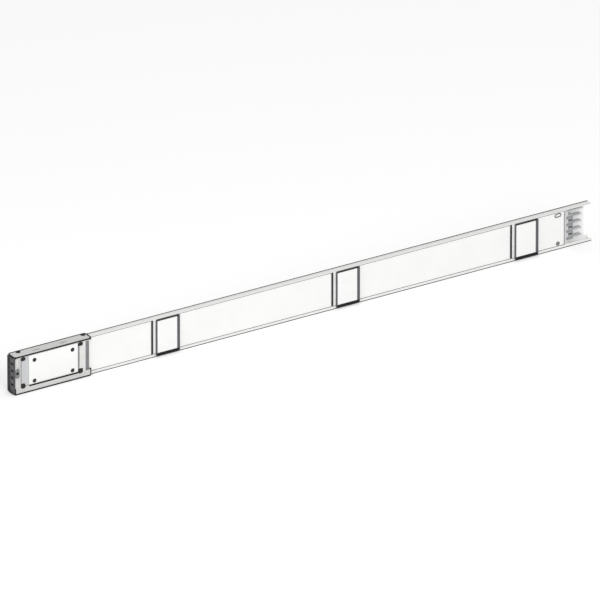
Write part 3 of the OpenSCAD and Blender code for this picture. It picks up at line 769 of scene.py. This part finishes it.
add_piece("upright_seals",
          [rounded_block((x1, y1, panel_low[2]), (x2, y2, panel_high[2]), upright_edge, axis=2)
           for x1, x2 in ((collar_high[0], collar_high[0] + upright_width),
                          (panel_high[0], gap_end - upright_clear))
           for y1, y2 in ((panel_low[1], panel_high[1]), (-panel_high[1], -panel_low[1]))],
          grey_rubber)


# ---- Casing gasket ----
# Closes the gap round the casing where it enters the joint block. Moulded in grey EPDM
# rubber as one ring, with three round ribs that give under the rails.
low, high = np.array(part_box("casing_gasket"))
hole_low, hole_high = np.array(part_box("back_cover"))[:, 1:].copy()
hole_low[0], hole_high[0] = cover_front, -cover_front
hole_low[1], hole_high[1] = np.array(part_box("contact_carrier"))[:, 2]
rib_depth, rib_count, gasket_lap, gasket_corner = 0.8 * MM, 3, 3 * MM, 3 * MM
high[0] += gasket_lap  # the ring laps over the covers
way = np.linspace(0, 1, 37)
ribbing = rib_depth * (0.5 + 0.5 * np.cos(2 * math.pi * rib_count * (way - 0.5 / rib_count)))
outside = rounded_rectangles(0, low[0] + (high[0] - low[0]) * way, low[1:] + ribbing[:, None],
                             high[1:] - ribbing[:, None], gasket_corner, 5)
inside = rounded_rectangles(0, [high[0], low[0]], hole_low, hole_high, lip_corner, 5)
add_piece("ribbed_gasket", [skin(np.concatenate([outside, inside]), ring=True)], grey_rubber,
          ("casing_gasket",))


# ---- Cover panels and their screws ----
# A panel closes the joint block on each side, held by four screws on rubber washers. Steel
# sheet with its edges pressed over a small radius, powder-coated bright white.

# White coat: satin, the brightest and smoothest on the section
panel_coat = surface_finish("polyester powder coat, bright white", "#f7f7f6", "#fafaf9",
                            blotch=70 * MM, smooth=0.38, rough=0.52, **orange_peel)
panel_edge, head_radius, panel_washer_radius, washer_share = 1.2 * MM, 8.0 * MM, 10.5 * MM, 0.7
for side, name in ((-1, "front"), (1, "back")):
    low, high = np.array(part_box(f"{name}_panel"))
    add_piece(f"{name}_panel_pressing", [rounded_block(low, high, panel_edge)], panel_coat,
              (f"{name}_panel",))
    face = low[1] if side < 0 else high[1]
    low, high = np.array(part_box(f"{name}_panel_screws"))
    head_height = (face - low[1]) if side < 0 else (high[1] - face)
    seats = [(x, face, z) for x in (low[0] + head_radius, high[0] - head_radius)
             for z in (low[2] + head_radius, high[2] - head_radius)]
    add_piece(f"{name}_panel_screw_heads",
              [screw_head(seat, head_radius, head_height, side) for seat in seats],
              black_zinc, (f"{name}_panel_screws",))
    black_rubber_piece(f"{name}_screw_washers", [
        sealing_washer(seat, panel_washer_radius, washer_share * head_height, side)
        for seat in seats])


# ---- Corner clips ----
# Four clips on each side snap into the housing's corners and keep the collars in line. Moulded
# in black polyamide, each with a cap that laps over the rail's edge.
clip_length, clip_height = 24 * MM, 14 * MM
cap_wider, cap_sunk, cap_stands = 1.5 * MM, 1 * MM, 1 * MM
low_cap_drop, low_cap_short, high_cap_drop, high_cap_rise = 10 * MM, 1 * MM, 2 * MM, 4 * MM
rail_face = base_high[1]
for side, name in ((-1, "front"), (1, "back")):
    low, high = np.array(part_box(f"{name}_clips"))
    base, top = (high[1], low[1]) if side < 0 else (low[1], high[1])
    lefts, lowest, highest = (low[0], high[0] - clip_length), low[2], high[2]
    add_piece(f"{name}_corner_clips",
              [button(x, x + clip_length, z, z + clip_height, base, top)
               for x in lefts for z in (lowest, highest - clip_height)],
              black_polyamide, (f"{name}_clips",))
    cap_heights = ((lowest - low_cap_drop, lowest + clip_height - low_cap_short),
                   (highest - clip_height - high_cap_drop, highest + high_cap_rise))
    add_piece(f"{name}_clip_caps",
              [button(x - cap_wider, x + clip_length + cap_wider, z1, z2,
                      side * (rail_face - cap_sunk), side * (rail_face + cap_stands))
               for x in lefts for z1, z2 in cap_heights],
              black_polyamide)


# ---- Hanger grommets ----
# A rubber ring round each hanger hole keeps the rod from scraping the coat. Moulded in black
# EPDM with a round lip and a thin skin that the rod breaks through.
low, high = np.array(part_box("hanger_grommets"))
outer, lip = (high[1] - low[1]) / 2, (high[2] - low[2]) / 2
lip_spread, ring_wide, pinhole = 0.5 * MM, 5.5 * MM, 0.4 * MM
inner = outer - ring_wide
grommet_profile = np.concatenate([arc((outer + lip_spread - lip, lip), lip, -90, 90, 8),
                                  arc((inner + lip, lip), lip, 90, 270, 12)])
membrane, membrane_low, membrane_high = inner + lip, 0.4 * lip, 1.3 * lip
membrane_profile = [(pinhole, membrane_low), (membrane, membrane_low), (membrane, membrane_high),
                    (pinhole, membrane_high)]
black_rubber_piece("hanger_hole_grommets", [
    turned_along(2, (x, (low[1] + high[1]) / 2, low[2]), profile, 40, ring=True)
    for x in (low[0] + outer, high[0] - outer)
    for profile in (grommet_profile, membrane_profile)], ("hanger_grommets",))


# ---- Outlets ----
# Three tap-off outlets, all alike. A moulded plate on the cover carries a shield in front of
# the bars, and a dark frame with black bumper strips and a white lid on a steel hinge pin. The
# lower strip's black also stands in for the shadow line under the lid, as painted shade.

# Lid and plate are moulded ABS, and the lid has the finer sheen. Frame and shield are polyamide
# with the carrier's grain, the upright seal is a softer rubber, and pins are bright drawn steel
lid_plastic = surface_finish("moulded ABS, white", "#f6f6f5", "#f9f9f8", blotch=50 * MM,
                             **etched_abs)
plate_plastic = surface_finish("moulded ABS, pale grey", "#ececea", "#f1f1ef",
                               blotch=50 * MM, grain=1.5 * MM, depth=0.02 * MM,
                               smooth=0.40, rough=0.52, IOR=1.54)
dark_polyamide = surface_finish("glass-filled polyamide, dark grey", "#46474a", "#525356",
                                **satin_polyamide)
frame_polyamide = surface_finish("glass-filled polyamide, iron grey", "#525357", "#5d5e62",
                                 **dull_polyamide)
bright_steel = surface_finish("drawn stainless steel", "#a6a8aa", "#b6b8ba",
                              blotch=5 * MM, grain=0.5 * MM, depth=0.01 * MM,
                              smooth=0.22, rough=0.36, stretch=(20, 1, 1), Metallic=1.0)
soft_rubber = surface_finish("soft EPDM rubber, charcoal", "#2b2c2e", "#343537", **dull_rubber)
clearance, plate_corner, plate_rim = 0.3 * MM, 2 * MM, 0.5 * MM
lid_gap, frame_corner, lid_corner, frame_edge = 0.5 * MM, 8 * MM, 0.4 * MM, 1.2 * MM
bumper_inset, bumper_proud, bumper_edge, bumper_margin = 4 * MM, 0.7 * MM, 0.35 * MM, 1.6 * MM
below_lid, above_lid = 1.4 * MM, 1.2 * MM
foot_proud, foot_sunk, foot_high, foot_edge = 1.2 * MM, 0.2 * MM, 2.4 * MM, 0.6 * MM
bulb_edge, shield_edge, support_edge, lid_edge = 1.4 * MM, 0.6 * MM, 0.4 * MM, 0.8 * MM
stud_sunk, pin_dome = 0.5 * MM, 0.4 * MM
for k in (1, 2, 3):
    node = f"outlet_{k}_"
    shield_low, shield_high = np.array(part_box(node + "shield"))
    plate_low, plate_high = np.array(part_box(node + "plate"))
    add_piece(node + "flange_plate",
              [framed_opening(plate_low, plate_high, shield_low[[0, 2]] - clearance,
                              shield_high[[0, 2]] + clearance, plate_corner, plate_rim,
                              plate_rim)],
              plate_plastic, (node + "plate",))
    seal_low, seal_high = np.array(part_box(node + "seal"))
    add_piece(node + "bulb_seal", [rounded_block(seal_low, seal_high, bulb_edge, axis=2)],
              soft_rubber, (node + "seal",))
    softened(node + "shield", node + "contact_shield", dark_polyamide, shield_edge)
    softened(node + "support", node + "bar_support", dark_polyamide,
             support_edge)
    low, high = np.array(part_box(node + "frame"))
    lid_low, lid_high = np.array(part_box(node + "lid"))
    add_piece(node + "lid_frame",
              [framed_opening(low, high, lid_low[[0, 2]] - lid_gap, lid_high[[0, 2]] + lid_gap,
                              frame_corner, lid_corner, frame_edge)],
              frame_polyamide, (node + "frame",))
    # Black bumper strips above and below the lid; the lower one is partly painted shade under the
    # lid
    black_rubber_piece(node + "bumper_strips_and_painted_shade", [
        rounded_block((low[0] + bumper_inset, low[1] - bumper_proud, z1),
                      (high[0] - bumper_inset, low[1] + bite, z2), bumper_edge)
        for z1, z2 in ((low[2] + bumper_margin, lid_low[2] - lid_gap - below_lid),
                       (lid_high[2] + lid_gap + above_lid, high[2] - bumper_margin))])
    add_piece(node + "foot_seal",
              [rounded_block((seal_low[0], plate_low[1] - foot_proud, plate_low[2]),
                             (low[0], plate_low[1] + foot_sunk, plate_low[2] + foot_high),
                             foot_edge)], grey_rubber)
    softened(node + "lid", node + "hinged_lid", lid_plastic, lid_edge, 3,
             body=f"lid_{k}")
    stud_low, stud_high = np.array(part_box(node + "studs"))
    stud_radius, stud_rise = (stud_high[2] - stud_low[2]) / 2, low[1] - stud_low[1]
    stud_profile = [(stud_radius, stud_sunk), (stud_radius, -0.4 * stud_rise),
                    (0.94 * stud_radius, -0.7 * stud_rise), (0.8 * stud_radius, -0.92 * stud_rise),
                    (0.55 * stud_radius, -stud_rise), (0.4 * stud_radius, -0.6 * stud_rise),
                    (0.1 * stud_radius, -0.5 * stud_rise)]
    add_piece(node + "snap_studs",
              [turned_along(1, (x, low[1], (stud_low[2] + stud_high[2]) / 2), stud_profile)
               for x in (stud_low[0] + stud_radius, stud_high[0] - stud_radius)],
              black_polyamide, (node + "studs",))
    low, high = np.array(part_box(node + "pin"))
    pin_radius = (high[2] - low[2]) / 2
    pin_profile = [(0.3 * pin_radius, low[0] - pin_dome),
                   (0.8 * pin_radius, low[0] - 0.6 * pin_dome),
                   (pin_radius, low[0] + pin_dome), (pin_radius, high[0] - pin_dome),
                   (0.8 * pin_radius, high[0] + 0.6 * pin_dome),
                   (0.3 * pin_radius, high[0] + pin_dome)]
    add_piece(node + "hinge_pin",
              [turned_along(0, (0, (low[1] + high[1]) / 2, (low[2] + high[2]) / 2), pin_profile)],
              bright_steel, (node + "pin",))
